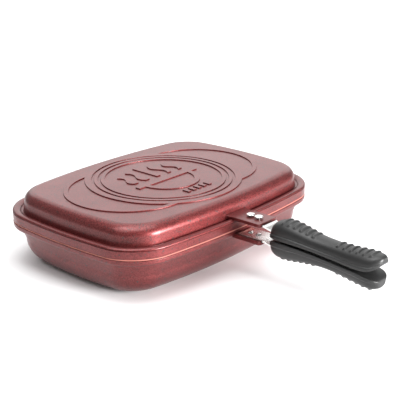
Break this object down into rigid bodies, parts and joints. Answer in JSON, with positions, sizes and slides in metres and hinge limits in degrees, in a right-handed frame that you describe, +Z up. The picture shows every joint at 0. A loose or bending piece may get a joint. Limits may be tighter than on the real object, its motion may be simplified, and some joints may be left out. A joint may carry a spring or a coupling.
{
  "type": "double sided flip pan",
  "caption": "Rectangular double sided frying pan: deep lower half and shallow upper half, cast with speckled coating, hinged at the back, each with a riveted black grip.",
  "frame": {"origin": "centre of the lower half's flat base, on the surface the pan stands on", "axes": "+Z up, X along the long side of the rim, handles towards -Y, hinges at the back towards +Y"},
  "size_m": [0.3398, 0.4535, 0.0865],
  "materials": {
    "granite_coat": "speckled metallic non-stick coating, satin",
    "silicone": "matt silicone",
    "black_plastic": "satin moulded plastic",
    "polished_steel": "polished steel",
    "plated_magnet": "nickel plate"
  },
  "bodies": {
    "lower_half": {"lower_pan": "granite_coat", "lower_tang": "polished_steel", "lower_rivet_1": "polished_steel", "lower_rivet_2": "polished_steel", "lower_grip": "black_plastic", "lower_grip_screw": "polished_steel", "lower_magnet": "plated_magnet", "hinge_pin_left": "polished_steel", "hinge_pin_right": "polished_steel", "hinge_washer_left": "polished_steel", "hinge_washer_right": "polished_steel"},
    "upper_half": {"upper_pan": "granite_coat", "gasket": "silicone", "upper_tang": "polished_steel", "upper_rivet_1": "polished_steel", "upper_rivet_2": "polished_steel", "upper_grip": "black_plastic", "upper_grip_screw": "polished_steel", "upper_magnet": "plated_magnet"}
  },
  "joints": [
    {"name": "lid_hinge", "type": "hinge", "parent": "lower_half", "child": "upper_half", "pos_m": [0, 0.134, 0.0531], "axis": [-1, 0, 0], "range_deg": [0, 180]}
  ]
}
